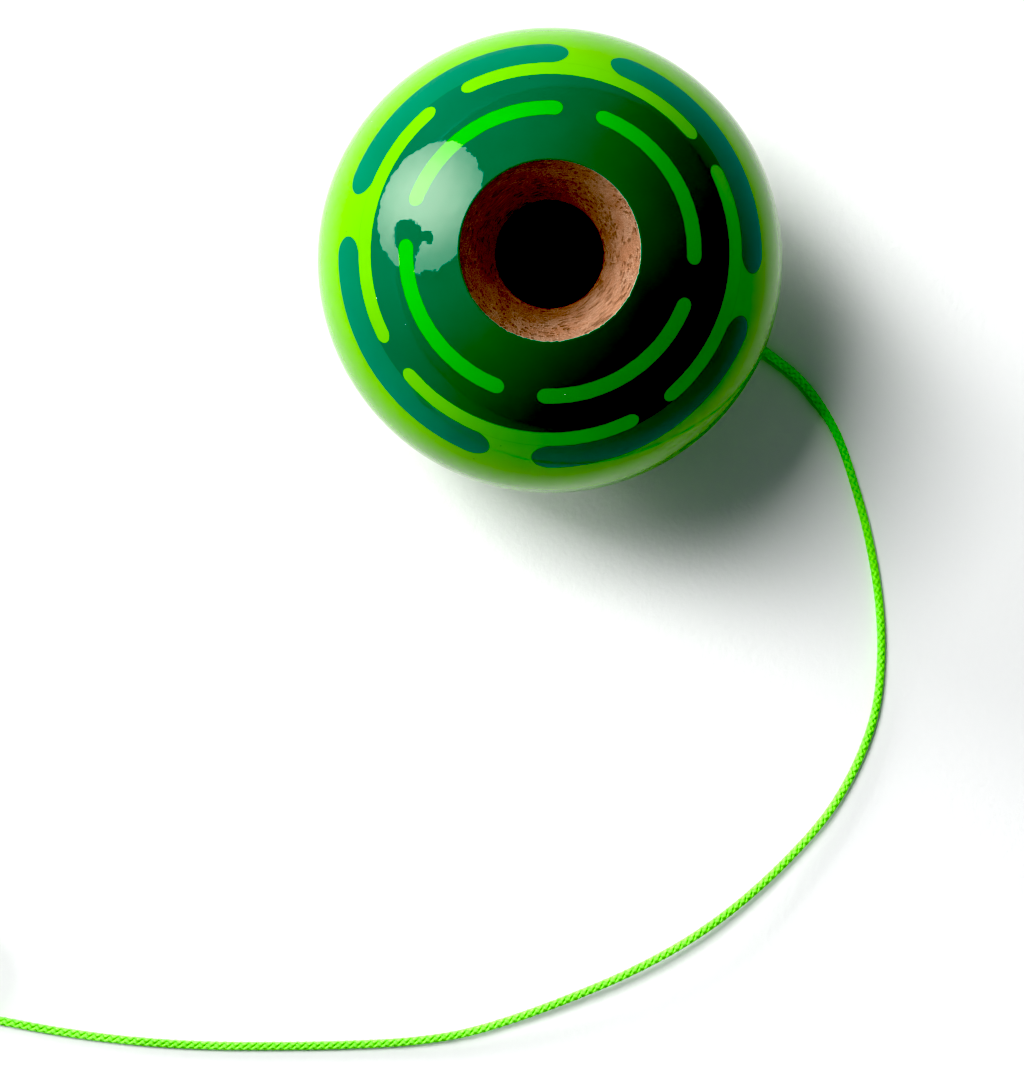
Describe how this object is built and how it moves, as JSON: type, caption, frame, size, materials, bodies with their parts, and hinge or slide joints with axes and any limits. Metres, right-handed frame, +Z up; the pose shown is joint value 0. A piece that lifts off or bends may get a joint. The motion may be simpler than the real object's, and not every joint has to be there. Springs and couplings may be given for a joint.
{
  "type": "kendama ball on its string",
  "caption": "Painted wooden skill-toy ball with a bevelled bore, turning on a small ball bearing at the end of a thin braided string that lies loose and ends in a coil.",
  "frame": {"origin": "the point of the table under the ball's centre, where the ball stands", "axes": "+Z up; the bore leans 9.5 degrees from +Z towards -X, and the string comes out from under the ball towards +X"},
  "size_m": [0.1479, 0.1351, 0.0593],
  "materials": {
    "painted_wood": "clear gloss lacquer over dark green and lime paint, bare oiled wood in the bevel and bore",
    "bearing_steel": "ground and polished",
    "cage_brass": "turned, satin",
    "string_braid": "round braided polyester, lime green",
    "tie_plastic": "flat soft plastic band"
  },
  "bodies": {
    "string": {"string_run": "string_braid", "string_in_ball": "string_braid", "string_coil": "string_braid", "string_tail": "string_braid", "end_knot": "string_braid", "coil_tie": "tie_plastic", "stopper_knot": "string_braid", "washer": "cage_brass", "bearing_inner_ring": "bearing_steel"},
    "ball": {"wooden_ball": "painted_wood", "bearing_outer_ring": "bearing_steel", "bearing_upper_shield": "bearing_steel", "bearing_lower_shield": "bearing_steel"},
    "cage": {"bearing_cage": "cage_brass", "bearing_ball_1": "bearing_steel", "bearing_ball_2": "bearing_steel", "bearing_ball_3": "bearing_steel", "bearing_ball_4": "bearing_steel", "bearing_ball_5": "bearing_steel", "bearing_ball_6": "bearing_steel", "bearing_ball_7": "bearing_steel"}
  },
  "joints": [
    {"name": "ball_spin", "type": "hinge", "parent": "string", "child": "ball", "pos_m": [0, 0, 0.03], "axis": [-0.165, 0, 0.9863], "continuous": true},
    {"name": "cage_turn", "type": "hinge", "parent": "string", "child": "cage", "pos_m": [0.00259, 0, 0.01452], "axis": [-0.165, 0, 0.9863], "continuous": true}
  ],
  "couplings": [
    {"joint": "cage_turn", "follows": "ball_spin", "ratio": 0.6}
  ]
}
